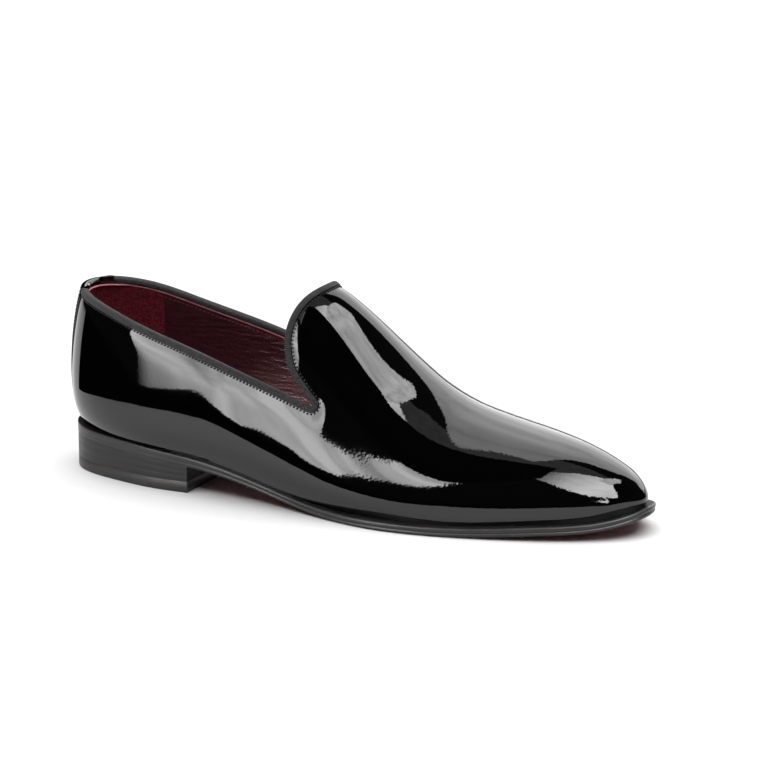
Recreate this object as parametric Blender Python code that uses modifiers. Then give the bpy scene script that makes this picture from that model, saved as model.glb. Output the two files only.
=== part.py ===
"""Patent leather loafer, right foot: whole-cut upper, ribbon binding, back strip, sole and heel.

Sizes are millimetres. x runs from the back of the heel (0) to the toe, y from the outer side of
the foot (negative) to the inner side, z up from the floor.
"""
import math

import bmesh
import bpy
import numpy as np
from mathutils import Vector
from mathutils.geometry import delaunay_2d_cdt

MM = 0.001
OBJECT_NAME = "patent_leather_loafer"

# Clear space between neighbouring pieces
GAP = 0.3

# Sole and heel
SOLE_LENGTH = 296.3
SOLE_STATIONS = 52
HEEL_LENGTH = 76.0
HEEL_STATIONS = 22
TOP_PIECE_THICKNESS = 5.5
HEEL_TRIM = 0.2

# Outline of the sole seen from above
SOLE_COLUMNS = ("x", "centre", "half_width")
SOLE_OUTLINE = (
    (5, 0.0, 15.6),
    (12, 0.0, 22.2),
    (24, 0.0, 27.3),
    (40, 0.0, 31.0),
    (60, -0.6, 32.8),
    (80, -2.2, 30.3),
    (100, -3.8, 28.8),
    (120, -3.9, 29.8),
    (140, -2.2, 34.8),
    (160, 1.0, 42.0),
    (180, 4.4, 47.4),
    (200, 7.0, 48.1),
    (220, 8.8, 45.2),
    (240, 10.0, 40.0),
    (262, 11.0, 32.1),
    (281, 11.6, 21.8),
    (291, 11.8, 13.4),
)

# Side view of the sole: its upper face, its thickness and how round its edge is.
# A thickness a little over the height at the ball makes the flat that stands on the floor.
SEAT_COLUMNS = ("x", "seat", "thickness", "roundness")
SEAT_LINE = (
    (0, 22.3, 5.0, 0.15),
    (35, 20.8, 4.8, 0.15),
    (76, 17.4, 4.4, 0.2),
    (100, 13.6, 4.1, 0.5),
    (125, 8.4, 4.1, 0.9),
    (145, 5.6, 4.4, 1.0),
    (165, 4.6, 4.6, 1.0),
    (185, 4.5, 4.7, 1.0),
    (205, 4.5, 4.6, 1.0),
    (225, 5.1, 4.5, 1.0),
    (240, 6.0, 4.5, 1.0),
    (255, 7.0, 4.5, 1.0),
    (270, 7.9, 4.5, 1.0),
    (285, 10.2, 4.5, 1.0),
    (299, 14.6, 4.5, 1.0),
)

# Edge of the sole: share of the thickness below the seat, inset from the outline
SOLE_EDGE = (
    (0.0, 1.3),
    (0.14, 0.45),
    (0.5, 0.0),
    (0.86, 0.45),
    (1.0, 1.3),
)

# Upper: leather and lining together
WALL = 1.8

# Sections of the last: half widths of the control rows on both sides of a centre line
LAST_COLUMNS = (
    "x", "centre", "ridge_shift", "feather", "bulge", "wall", "shoulder", "crown", "top")
LAST_LENGTH = 297.0
LAST_SECTIONS = (
    (12, 0.0, 0, 19.6, 24.6, 23.1, 19.7, 16.4, 104.0),
    (28, 0.0, 0, 27.2, 33.4, 30.3, 25.7, 21.4, 106.0),
    (60, -0.5, 0, 31.4, 38.6, 34.2, 28.0, 22.2, 112.0),
    (100, -3.4, 3, 28.6, 38.6, 35.7, 30.6, 19.7, 107.0),
    (130, -2.6, 5, 31.2, 41.0, 37.1, 32.5, 16.4, 100.3),
    (160, 1.2, 6, 38.2, 45.8, 41.7, 34.9, 15.5, 78.6),
    (190, 6.0, 5, 43.8, 47.6, 45.9, 36.8, 16.5, 54.5),
    (215, 8.6, 4, 42.8, 44.7, 45.4, 34.5, 16.5, 45.5),
    (240, 10.0, 2, 36.9, 38.8, 38.5, 30.5, 15.5, 41.2),
    (262, 10.9, 0, 29.2, 31.1, 30.3, 24.5, 13.0, 37.3),
    (280, 11.5, 0, 19.8, 21.7, 21.2, 17.4, 9.7, 31.5),
    (290, 11.7, 0, 12.0, 13.9, 13.6, 11.4, 6.2, 27.0),
)
TOP_AT_BACK = 102.0
TOP_AT_TOE = 20.4

# Control rows from the sole up: where each row ends at heel and toe, and its share of the height
LAST_ROWS = (
    ("feather", 1.5, 293.0, 0.0),
    ("bulge", -2.2, 294.6, 0.10),
    ("wall", -2.9, 293.3, 0.38),
    ("shoulder", 1.5, 292.7, 0.76),
    ("crown", 7.4, 290.6, 0.97),
    ("ridge", 10.1, 290.3, 1.03),
)
BULGE_RISE = 7.0
BULGE_SHARE_MOST = 0.3
SPLINE_DEGREE = 3

# Cut edge of the collar in the side view, from the heel to the notch
COLLAR_COLUMNS = ("x", "z")
COLLAR_LINE = (
    (-10, 90.0),
    (2, 88.4),
    (12, 86.6),
    (27, 83.4),
    (50, 77.2),
    (80, 70.2),
    (110, 62.0),
    (132, 55.2),
    (142, 51.8),
    (152, 48.2),
    (166, 43.0),
)

# Cut edge of the tongue in the side view, from the notch up to its end
TONGUE_COLUMNS = ("z", "x")
TONGUE_LINE = (
    (42.0, 160.6),
    (50.0, 150.6),
    (54.8, 144.4),
    (59.3, 139.9),
    (64.3, 135.3),
    (69.3, 131.7),
    (75.3, 129.2),
    (81.2, 127.9),
    (87.0, 127.7),
    (92.0, 128.4),
    (96.6, 130.2),
    (99.7, 133.0),
    (101.5, 136.0),
    (104.0, 141.0),
)
NOTCH_RADIUS = 1.7
COLLAR_POINTS = 46
NOTCH_POINTS = 9
TONGUE_POINTS = 22

# Mesh of the upper: points along the foot, and across each side with more near the sole
UPPER_STATIONS = 60
UPPER_ROWS = (
    0.0, 0.02, 0.042, 0.068, 0.1, 0.14, 0.18, 0.22, 0.26, 0.3, 0.34, 0.38, 0.42, 0.46, 0.5)
DOMAIN_LENGTH = 290.0
DOMAIN_WIDTH = 170.0
EDGE_CLEARANCE = 1.7
WELD = 0.00001

# Ribbon binding round the cut edge: its U section
BINDING_GAP = 0.35
BINDING_LEAF = 0.85
BINDING_DROP = 2.0
BINDING_CORNER = 0.45

# Back strip that covers the back seam
STRIP_HALF_WIDTH_TOP = 13.0
STRIP_HALF_WIDTH_FOOT = 9.5
STRIP_LEAF = 1.1
STRIP_CLEARANCE = 0.6
STRIP_INNER_DROP = 2.6
STRIP_FOOT_ROW = 0.012
STRIP_STATIONS = 14
STRIP_ROWS = 16

# Insole with its sock
INSOLE_THICKNESS = 2.5
INSOLE_INSET = 2.2
INSOLE_STATIONS = 44
INSOLE_TOE_TRIM = 5.0
INSOLE_TOE_START = 235.0

MATERIALS = {
    "patent_leather": ((0.006, 0.006, 0.007), 0.08),
    "grosgrain": ((0.025, 0.025, 0.027), 0.85),
    "sock_leather": ((0.13, 0.022, 0.03), 0.55),
    "sole_leather": ((0.02, 0.016, 0.016), 0.35),
    "heel_leather": ((0.018, 0.016, 0.016), 0.4),
    "top_piece_rubber": ((0.02, 0.02, 0.02), 0.6),
}


def column(table, names, name):
    place = names.index(name)
    return np.array([row[place] for row in table])


def natural_spline(knots, values, at):
    """Value of the natural cubic spline through the knots."""
    knots = np.asarray(knots, float)
    values = np.asarray(values, float)
    at = np.asarray(at, float)
    count = len(knots)
    step = np.diff(knots)
    slope = np.diff(values) / step
    matrix = np.zeros((count, count))
    right = np.zeros(count)
    matrix[0, 0] = 1
    matrix[-1, -1] = 1
    for i in range(1, count - 1):
        matrix[i, i - 1] = step[i - 1]
        matrix[i, i] = 2 * (step[i - 1] + step[i])
        matrix[i, i + 1] = step[i]
        right[i] = 6 * (slope[i] - slope[i - 1])
    bend = np.linalg.solve(matrix, right)
    i = np.clip(np.searchsorted(knots, at) - 1, 0, count - 2)
    u = at - knots[i]
    first = slope[i] - step[i] * (2 * bend[i] + bend[i + 1]) / 6
    cubic = (bend[i + 1] - bend[i]) / (6 * step[i])
    return values[i] + u * (first + u * (bend[i] / 2 + u * cubic))


def along(length, turn):
    """Distance from the back for a turn of 0 at the heel to pi at the toe."""
    return length * (1 - np.cos(turn)) / 2


def turn_at(length, x):
    return np.arccos(1 - 2 * np.asarray(x, float) / length)


def seat_value(name, x):
    return natural_spline(
        column(SEAT_LINE, SEAT_COLUMNS, "x"), column(SEAT_LINE, SEAT_COLUMNS, name), x)


def sole_bottom(x):
    return np.maximum(seat_value("seat", x) - seat_value("thickness", x), 0.0)


def last_value(name, turn):
    """A half width of the last, which closes to nothing at heel and toe."""
    knots = turn_at(LAST_LENGTH, column(LAST_SECTIONS, LAST_COLUMNS, "x"))
    widths = column(LAST_SECTIONS, LAST_COLUMNS, name)
    return natural_spline(np.r_[0, knots, math.pi], np.r_[0, widths, 0], turn)


def last_top(turn):
    knots = turn_at(LAST_LENGTH, column(LAST_SECTIONS, LAST_COLUMNS, "x"))
    heights = column(LAST_SECTIONS, LAST_COLUMNS, "top")
    return natural_spline(
        np.r_[0, knots, math.pi], np.r_[TOP_AT_BACK, heights, TOP_AT_TOE], turn)


def last_line(name, x):
    """A centre line of the last, held level past its first and last sections."""
    knots = column(LAST_SECTIONS, LAST_COLUMNS, "x")
    values = column(LAST_SECTIONS, LAST_COLUMNS, name)
    return natural_spline(
        np.r_[0, knots, LAST_LENGTH], np.r_[values[0], values, values[-1]], x)


def control_rows(turn):
    """Control points over the last at each turn, from the outer feather to the inner one."""
    outer = []
    inner = []
    for name, back, toe, share in LAST_ROWS:
        x = back + along(toe - back, turn)
        half = 0 * turn if name == "ridge" else last_value(name, turn)
        middle = last_line("centre", x) + share * last_line("ridge_shift", x)
        seat = seat_value("seat", x) + GAP
        rise = share * (last_top(turn) - seat)
        if name == "bulge":
            rise = np.minimum(BULGE_RISE, BULGE_SHARE_MOST * (last_top(turn) - seat))
        outer.append(np.stack([x, middle - half, seat + rise], -1))
        inner.append(np.stack([x, middle + half, seat + rise], -1))
    return np.array(outer + inner[-2::-1])


def spline_shares(count, across):
    """Clamped uniform B-spline shares of each control row, for across from 0 to 1."""
    inside = np.linspace(0, 1, count - SPLINE_DEGREE + 1)
    knots = np.r_[np.zeros(SPLINE_DEGREE), inside, np.ones(SPLINE_DEGREE)]
    across = np.clip(across, 0, 1 - 1e-12)
    shares = [((across >= a) & (across < b)).astype(float) for a, b in zip(knots[:-1], knots[1:])]
    for degree in range(1, SPLINE_DEGREE + 1):
        raised = []
        for i in range(len(knots) - degree - 1):
            value = np.zeros_like(across)
            if knots[i + degree] > knots[i]:
                value = value + (across - knots[i]) / (knots[i + degree] - knots[i]) * shares[i]
            if knots[i + degree + 1] > knots[i + 1]:
                span = knots[i + degree + 1] - knots[i + 1]
                value = value + (knots[i + degree + 1] - across) / span * shares[i + 1]
            raised.append(value)
        shares = raised
    return np.array(shares)


def upper_points(turn, across):
    """Outer face of the upper: turn along the foot, across from outer (0) to inner side (1)."""
    turn = np.asarray(turn, float)
    across = np.asarray(across, float)
    rows = control_rows(turn)
    shares = spline_shares(len(rows), across)
    return np.einsum("kn,knx->nx", shares, rows)


def unit(vectors):
    return vectors / np.linalg.norm(vectors, axis=-1, keepdims=True)


def upper_normals(turn, across):
    """Outward direction of the upper's face."""
    step = 1e-4
    turn = np.clip(turn, 2 * step, math.pi - 2 * step)
    across = np.clip(across, 2 * step, 1 - 2 * step)
    by_turn = upper_points(turn + step, across) - upper_points(turn - step, across)
    by_across = upper_points(turn, across + step) - upper_points(turn, across - step)
    return unit(np.cross(by_turn, by_across))


def bisect(side, low, high):
    """Where side changes from negative to positive between low and high."""
    low = np.array(low, float)
    high = np.array(high, float)
    for _ in range(48):
        middle = (low + high) / 2
        over = side(middle) > 0
        high = np.where(over, middle, high)
        low = np.where(over, low, middle)
    return (low + high) / 2


def collar_height(x):
    return natural_spline(
        column(COLLAR_LINE, COLLAR_COLUMNS, "x"), column(COLLAR_LINE, COLLAR_COLUMNS, "z"), x)


def tongue_place(z):
    return natural_spline(
        column(TONGUE_LINE, TONGUE_COLUMNS, "z"), column(TONGUE_LINE, TONGUE_COLUMNS, "x"), z)


def flat_normals(line, sign):
    ahead = np.gradient(line, axis=0)
    ahead = unit(ahead)
    return sign * np.stack([-ahead[:, 1], ahead[:, 0]], -1)


def notch_arc():
    """Round foot of the notch in the side view, from the collar to the tongue."""
    x = np.linspace(110.0, 158.0, 400)
    collar = np.stack([x, collar_height(x)], -1)
    z = np.linspace(45.0, 80.0, 400)
    tongue = np.stack([tongue_place(z), z], -1)
    raised = collar + NOTCH_RADIUS * flat_normals(collar, 1)
    drawn = tongue + NOTCH_RADIUS * flat_normals(tongue, 1)
    apart = np.linalg.norm(raised[:, None] - drawn[None], axis=-1)
    i, j = np.unravel_index(np.argmin(apart), apart.shape)
    centre = (raised[i] + drawn[j]) / 2
    start = math.atan2(*(collar[i] - centre)[::-1])
    end = math.atan2(*(tongue[j] - centre)[::-1])
    if end < start:
        end += 2 * math.pi
    angles = np.linspace(start, end, NOTCH_POINTS)
    return centre + NOTCH_RADIUS * np.stack([np.cos(angles), np.sin(angles)], -1)


def onto_upper(places, turn, across):
    """Turn and across of the upper's points that show at places in the side view."""
    step = 1e-4
    found = []
    for place in places:
        for _ in range(12):
            probe_turn = np.array([turn, turn + step, turn])
            probe_across = np.array([across, across, across + step])
            here = upper_points(probe_turn, probe_across)[:, [0, 2]]
            slopes = np.stack([(here[1] - here[0]) / step, (here[2] - here[0]) / step], -1)
            move = np.linalg.solve(slopes, place - here[0])
            turn += move[0]
            across += move[1]
        found.append((turn, across))
    return np.array(found)


def cut_edge(inner_side):
    """Cut edge of one side as turns and acrosses, from the back of the heel to the tongue's end."""
    arc = notch_arc()

    def mirrored(across):
        return 1 - across if inner_side else across

    def over_collar(turn, across):
        points = upper_points(turn, mirrored(across))
        return points[:, 2] - collar_height(points[:, 0])

    guess = turn_at(LAST_LENGTH, arc[0][0])
    start_across = bisect(
        lambda a: over_collar(np.array([guess]), a), np.array([0.05]), np.array([0.4]))[0]
    foot = onto_upper(arc, guess, mirrored(start_across))
    turns = foot[0, 0] * np.linspace(0, 1, COLLAR_POINTS)[:-1]
    collar_across = bisect(
        lambda a: over_collar(turns, a), np.full(len(turns), 0.05), np.full(len(turns), 0.45))
    last_across = mirrored(foot[-1, 1])
    tongue_across = np.linspace(last_across, 0.5, TONGUE_POINTS)[1:]

    def before_tongue(turn):
        points = upper_points(turn, mirrored(tongue_across))
        return points[:, 0] - tongue_place(points[:, 2])

    low = np.full(len(tongue_across), turn_at(LAST_LENGTH, 95.0))
    high = np.full(len(tongue_across), turn_at(LAST_LENGTH, 172.0))
    tongue_turns = bisect(before_tongue, low, high)
    collar = np.stack([turns, mirrored(collar_across)], -1)
    tongue = np.stack([tongue_turns, mirrored(tongue_across)], -1)
    return np.concatenate([collar, foot, tongue])


def in_loop(points, loop):
    """True for each flat point that lies inside the closed loop."""
    inside = np.zeros(len(points), bool)
    ahead = np.roll(loop, -1, axis=0)
    for (ax, ay), (bx, by) in zip(loop, ahead):
        if ay == by:
            continue
        crosses = (points[:, 1] < ay) != (points[:, 1] < by)
        inside ^= crosses & (points[:, 0] < ax + (points[:, 1] - ay) / (by - ay) * (bx - ax))
    return inside


def from_loop(points, loop):
    """Distance of each flat point from the closed loop."""
    nearest = np.full(len(points), np.inf)
    for a, b in zip(loop, np.roll(loop, -1, axis=0)):
        edge = b - a
        share = np.clip((points - a) @ edge / max(edge @ edge, 1e-12), 0, 1)
        nearest = np.minimum(nearest, np.linalg.norm(points - a - share[:, None] * edge, axis=1))
    return nearest


def upper_sheet():
    """Points and triangles of the upper's outer face, cut to its collar and tongue."""
    scale = np.array([DOMAIN_LENGTH / math.pi, DOMAIN_WIDTH])
    turns = np.linspace(0, math.pi, UPPER_STATIONS + 1)
    side = np.array(UPPER_ROWS)
    rows = np.r_[side, 1 - side[-2::-1]]
    outer_edge = cut_edge(False)
    inner_edge = cut_edge(True)
    back = side[side < outer_edge[0, 1] - 0.5 * (side[-1] - side[-2])]
    outer_feather = np.stack([turns, 0 * turns], -1)
    toe = np.stack([np.full(len(rows), math.pi), rows], -1)
    inner_feather = np.stack([turns[::-1], 0 * turns + 1], -1)
    inner_back = np.stack([0 * back, 1 - back], -1)
    outer_back = np.stack([0 * back, back], -1)[::-1]
    loop = np.concatenate([
        outer_feather, toe[1:-1], inner_feather, inner_back[1:],
        inner_edge, outer_edge[-2::-1], outer_back[:-1]])
    grid = np.array([(turn, row) for turn in turns[1:-1] for row in rows[1:-1]])
    flat_loop = loop * scale
    flat_grid = grid * scale
    keep = in_loop(flat_grid, flat_loop)
    keep &= from_loop(flat_grid, flat_loop) > EDGE_CLEARANCE
    flat = [Vector(point) for point in np.concatenate([flat_loop, flat_grid[keep]])]
    border = list(range(len(loop)))
    places, _, faces, _, _, _ = delaunay_2d_cdt(flat, [], [border], 1, 1e-6)
    domain = np.array([tuple(place) for place in places]) / scale
    return upper_points(domain[:, 0], domain[:, 1]), [tuple(face) for face in faces]


def new_part(name, slot, points, faces, collection):
    """A named part from points in millimetres, with its own material."""
    mesh = bpy.data.meshes.new(name)
    mesh.from_pydata([tuple(point * MM) for point in np.asarray(points)], [], faces)
    work = bmesh.new()
    work.from_mesh(mesh)
    bmesh.ops.remove_doubles(work, verts=work.verts, dist=WELD)
    bmesh.ops.dissolve_degenerate(work, edges=work.edges, dist=WELD)
    bmesh.ops.recalc_face_normals(work, faces=work.faces)
    work.to_mesh(mesh)
    work.free()
    part = bpy.data.objects.new(name, mesh)
    part.data.materials.append(bpy.data.materials[slot])
    collection.objects.link(part)
    return part


def face_outward(part):
    """Turns the faces of an open sheet so that they look away from its middle."""
    mesh = part.data
    middle = Vector((0, 0, 0))
    for vertex in mesh.vertices:
        middle += vertex.co / len(mesh.vertices)
    looks = sum(face.normal.dot(face.center - middle) * face.area for face in mesh.polygons)
    if looks < 0:
        mesh.flip_normals()


def loft(sections):
    """Points and faces that join sections of equal count, capped at both ends."""
    count = len(sections)
    size = len(sections[0])
    points = np.concatenate(sections)
    faces = []
    for i in range(count - 1):
        here = i * size
        there = here + size
        for j in range(size):
            k = (j + 1) % size
            faces.append((here + j, here + k, there + k, there + j))
    faces.append(tuple(range(size))[::-1])
    faces.append(tuple(range((count - 1) * size, count * size)))
    return points, faces


def outline_loop(turns, length, centre_of, half_of, inset):
    """Closed outline from the heel along the outer side to the toe and back, moved inward."""
    x = along(length, turns)
    outer = np.stack([x, centre_of(x) - half_of(turns)], -1)
    inner = np.stack([x, centre_of(x) + half_of(turns)], -1)
    loop = np.concatenate([outer, inner[-2:0:-1]])
    ahead = unit(np.roll(loop, -1, axis=0) - np.roll(loop, 1, axis=0))
    inward = np.stack([-ahead[:, 1], ahead[:, 0]], -1)
    return loop + inward * np.asarray(inset)[..., None]


def stacked(rings):
    """Closed solid from rings of one outline, with ladder caps on its lowest and highest ring."""
    size = len(rings[0])
    half = size // 2
    points = np.concatenate(rings)
    faces = []
    for level in range(len(rings) - 1):
        for j in range(size):
            k = (j + 1) % size
            low = level * size
            faces.append((low + j, low + k, low + size + k, low + size + j))
    for low in (0, (len(rings) - 1) * size):
        for j in range(half):
            rung = (low + j, low + j + 1, low + (size - j - 1) % size, low + (size - j) % size)
            faces.append(tuple(dict.fromkeys(rung)))
    return points, faces


def sole_centre(x):
    knots = column(SOLE_OUTLINE, SOLE_COLUMNS, "x")
    values = column(SOLE_OUTLINE, SOLE_COLUMNS, "centre")
    return natural_spline(
        np.r_[0, knots, SOLE_LENGTH], np.r_[values[0], values, values[-1]], x)


def sole_half(turn):
    knots = turn_at(SOLE_LENGTH, column(SOLE_OUTLINE, SOLE_COLUMNS, "x"))
    values = column(SOLE_OUTLINE, SOLE_COLUMNS, "half_width")
    return natural_spline(np.r_[0, knots, math.pi], np.r_[0, values, 0], turn)


def outsole_shape():
    turns = np.linspace(0, math.pi, SOLE_STATIONS + 1)
    plain = outline_loop(turns, SOLE_LENGTH, sole_centre, sole_half, 0.0)
    roundness = seat_value("roundness", plain[:, 0])
    rings = []
    for depth, inset in SOLE_EDGE:
        flat = outline_loop(turns, SOLE_LENGTH, sole_centre, sole_half, inset * roundness)
        seat = seat_value("seat", flat[:, 0])
        bottom = sole_bottom(flat[:, 0])
        rings.append(np.column_stack([flat, seat + depth * (bottom - seat)]))
    return stacked(rings)


def heel_outline():
    """Heel outline from the breast round the back, as one closed loop with a straight breast."""
    last = float(turn_at(SOLE_LENGTH, HEEL_LENGTH))
    turns = np.linspace(0, last, HEEL_STATIONS + 1)
    plain = outline_loop(
        np.r_[turns, last + turns[1]], SOLE_LENGTH, sole_centre, sole_half, HEEL_TRIM)
    return np.concatenate([plain[:HEEL_STATIONS + 1], plain[-HEEL_STATIONS:]])


def heel_block(low, high):
    """Points and faces of a heel layer between two heights, each a number or one per point."""
    flat = heel_outline()
    size = len(flat)
    points = np.concatenate([
        np.column_stack([flat, np.broadcast_to(low, size)]),
        np.column_stack([flat, np.broadcast_to(high, size)])])
    faces = []
    for j in range(size):
        k = (j + 1) % size
        faces.append((j, k, size + k, size + j))
    for level in (0, size):
        for j in range(HEEL_STATIONS):
            rung = (level + j, level + j + 1,
                    level + (size - j - 1) % size, level + (size - j) % size)
            faces.append(tuple(dict.fromkeys(rung)))
    return points, faces


def insole_shape():
    """Insole inside the feather line, drawn in further where the toe grows low."""
    name, back, toe, _ = LAST_ROWS[0]
    turns = np.linspace(0, math.pi, INSOLE_STATIONS + 1)

    def outline(inset):
        return outline_loop(
            turns, toe - back, lambda x: last_line("centre", x + back),
            lambda turn: last_value(name, turn), inset)

    toward_toe = (outline(0.0)[:, 0] - INSOLE_TOE_START) / (toe - back - INSOLE_TOE_START)
    flat = outline(INSOLE_INSET + INSOLE_TOE_TRIM * np.clip(toward_toe, 0, 1))
    flat = flat + np.array([back, 0.0])
    foot = seat_value("seat", flat[:, 0]) + GAP
    return stacked([
        np.column_stack([flat, foot + INSOLE_THICKNESS]), np.column_stack([flat, foot])])


def edge_frames(edge):
    """Point, outward direction and direction off the cut edge at each place of the edge."""
    points = upper_points(edge[:, 0], edge[:, 1])
    outward = upper_normals(edge[:, 0], edge[:, 1])
    ahead = unit(np.gradient(points, axis=0))
    outward = unit(outward - np.sum(outward * ahead, -1, keepdims=True) * ahead)
    return points, outward, np.cross(outward, ahead)


def binding_section():
    """U section of the ribbon as distances outward from the leather's face and off its edge."""
    near = BINDING_GAP
    far = BINDING_GAP + BINDING_LEAF
    return (
        (near, -BINDING_DROP),
        (far, -BINDING_DROP),
        (far, far - 2 * BINDING_CORNER),
        (far - BINDING_CORNER, far - BINDING_CORNER / 2),
        (-WALL / 2, far),
        (-WALL - far + BINDING_CORNER, far - BINDING_CORNER / 2),
        (-WALL - far, far - 2 * BINDING_CORNER),
        (-WALL - far, -BINDING_DROP),
        (-WALL - near, -BINDING_DROP),
        (-WALL - near, near),
        (near, near),
    )


def strip_half_width(height_share):
    return STRIP_HALF_WIDTH_FOOT + height_share * (STRIP_HALF_WIDTH_TOP - STRIP_HALF_WIDTH_FOOT)


def turn_for_width(half_width, across):
    """Turn at which the upper's outer side is a half width away from the middle of the heel."""
    across = np.asarray(across, float)
    return bisect(
        lambda turn: -upper_points(turn, across)[:, 1] - half_width,
        np.zeros(len(across)), np.full(len(across), 0.7))


def binding_shape():
    outer = cut_edge(False)
    inner = cut_edge(True)
    width = STRIP_HALF_WIDTH_TOP + STRIP_CLEARANCE
    edges = []
    for edge in (outer, inner):
        reach = np.abs(upper_points(edge[:, 0], edge[:, 1])[:, 1])
        first = int(np.argmax(reach > width))
        share = (width - reach[first - 1]) / (reach[first] - reach[first - 1])
        start = edge[first - 1] + share * (edge[first] - edge[first - 1])
        edges.append(np.concatenate([[start], edge[first:]]))
    path = np.concatenate([edges[0], edges[1][-2::-1]])
    points, outward, off = edge_frames(path)
    hang = off.copy()
    for end, sign in ((0, 1), (-1, -1)):
        turn, across = path[end]
        pair = upper_points(np.array([turn, turn]), np.array([across - 0.01, across + 0.01]))
        hang[end] = sign * unit(pair[1] - pair[0])
    section = binding_section()
    sections = [
        np.array([p + n * a + c * (b if c > 0 else h) for a, c in section])
        for p, n, b, h in zip(points, outward, off, hang)]
    return loft(sections)


def strip_shape():
    """Strip up the back of the heel that folds over the cut edge."""
    edge = cut_edge(False)
    top = edge[0, 1]
    acrosses = np.linspace(STRIP_FOOT_ROW, top, STRIP_ROWS)
    share = (acrosses - STRIP_FOOT_ROW) / (top - STRIP_FOOT_ROW)
    widest = turn_for_width(strip_half_width(share), acrosses)
    places = np.linspace(-1, 1, STRIP_STATIONS + 1)
    head_turns = np.abs(places) * widest[-1]
    head_rows = np.interp(head_turns, edge[:, 0], edge[:, 1])
    head_rows = np.where(places > 0, 1 - head_rows, head_rows)
    heads, looks, downs = edge_frames(np.stack([head_turns, head_rows], -1))
    sections = []
    for place, head_row, head, look, down in zip(places, head_rows, heads, looks, downs):
        turns = np.abs(place) * widest
        rows = acrosses if place <= 0 else 1 - acrosses
        rows = np.r_[rows[:-1], head_row]
        points = upper_points(turns, rows)
        outward = upper_normals(turns, rows)
        if abs(place) < 1e-9:
            outward = unit(outward * np.array([1.0, 0.0, 1.0]))
        off = -down
        hang = unit(points[-1] - points[-2])
        under = list(points + outward * GAP)
        under.append(head + look * GAP + off * GAP)
        under.append(head - look * (WALL + GAP) + off * GAP)
        under.append(head - look * (WALL + GAP) - hang * STRIP_INNER_DROP)
        far = GAP + STRIP_LEAF
        over = list(points + outward * far)
        over.append(head + look * far + off * far / 2)
        over.append(head + look * far / 2 + off * far)
        over.append(head - look * (WALL + far / 2) + off * far)
        over.append(head - look * (WALL + far) + off * far / 2)
        over.append(head - look * (WALL + far) - hang * STRIP_INNER_DROP)
        sections.append(np.array(under + over[::-1]))
    return loft(sections)


def make_materials():
    for name, (colour, roughness) in MATERIALS.items():
        material = bpy.data.materials.new(name)
        material.use_nodes = True
        shader = material.node_tree.nodes["Principled BSDF"]
        shader.inputs["Base Color"].default_value = (*colour, 1.0)
        shader.inputs["Roughness"].default_value = roughness


def centre_on_frame(parts):
    """Moves the parts so that the middle of their box stands over the origin."""
    bpy.context.view_layer.update()
    graph = bpy.context.evaluated_depsgraph_get()
    corners = []
    for part in parts:
        shaped = part.evaluated_get(graph).to_mesh()
        place = np.empty(3 * len(shaped.vertices))
        shaped.vertices.foreach_get("co", place)
        place = place.reshape(-1, 3)
        corners += [place.min(axis=0), place.max(axis=0)]
        part.evaluated_get(graph).to_mesh_clear()
    corners = np.array(corners)
    middle = (corners.min(axis=0) + corners.max(axis=0)) / 2
    for part in parts:
        part.location = (-middle[0], -middle[1], 0.0)


def build():
    for item in list(bpy.data.objects):
        bpy.data.objects.remove(item, do_unlink=True)
    make_materials()
    collection = bpy.data.collections.new(OBJECT_NAME)
    bpy.context.scene.collection.children.link(collection)

    outsole = new_part("outsole", "sole_leather", *outsole_shape(), collection)
    heel_x = heel_outline()[:, 0]
    heel_low = TOP_PIECE_THICKNESS + GAP
    heel_high = sole_bottom(heel_x) - GAP
    heel = new_part("heel", "heel_leather", *heel_block(heel_low, heel_high), collection)
    top_piece = new_part(
        "top_piece", "top_piece_rubber", *heel_block(0.0, TOP_PIECE_THICKNESS), collection)
    insole = new_part("insole", "sock_leather", *insole_shape(), collection)

    upper = new_part("upper", "patent_leather", *upper_sheet(), collection)
    face_outward(upper)
    shell = upper.modifiers.new("wall", "SOLIDIFY")
    shell.thickness = WALL * MM
    shell.offset = -1.0
    shell.use_even_offset = False
    shell.use_quality_normals = True

    binding = new_part("collar_binding", "grosgrain", *binding_shape(), collection)
    strip = new_part("back_strip", "patent_leather", *strip_shape(), collection)
    centre_on_frame([outsole, heel, top_piece, insole, upper, binding, strip])


build()
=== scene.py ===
import math

import bmesh
import bpy
import numpy as np
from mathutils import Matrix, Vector
from mathutils.geometry import delaunay_2d_cdt


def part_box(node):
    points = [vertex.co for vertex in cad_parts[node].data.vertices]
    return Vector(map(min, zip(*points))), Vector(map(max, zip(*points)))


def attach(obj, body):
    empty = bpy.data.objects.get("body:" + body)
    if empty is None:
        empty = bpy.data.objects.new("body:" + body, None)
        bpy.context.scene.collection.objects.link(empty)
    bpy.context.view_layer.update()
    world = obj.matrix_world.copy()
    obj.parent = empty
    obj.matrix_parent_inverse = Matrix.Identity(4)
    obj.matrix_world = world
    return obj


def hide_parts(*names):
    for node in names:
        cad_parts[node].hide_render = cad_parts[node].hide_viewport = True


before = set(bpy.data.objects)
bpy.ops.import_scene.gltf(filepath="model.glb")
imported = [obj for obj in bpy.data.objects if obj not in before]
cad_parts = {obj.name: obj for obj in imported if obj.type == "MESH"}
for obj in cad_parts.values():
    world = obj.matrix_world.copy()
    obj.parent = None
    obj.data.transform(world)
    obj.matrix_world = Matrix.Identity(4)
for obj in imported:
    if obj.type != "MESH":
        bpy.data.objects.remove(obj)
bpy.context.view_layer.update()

millimetre = 0.001
print("loafer: frame loaded,", len(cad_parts), "solids")

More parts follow.
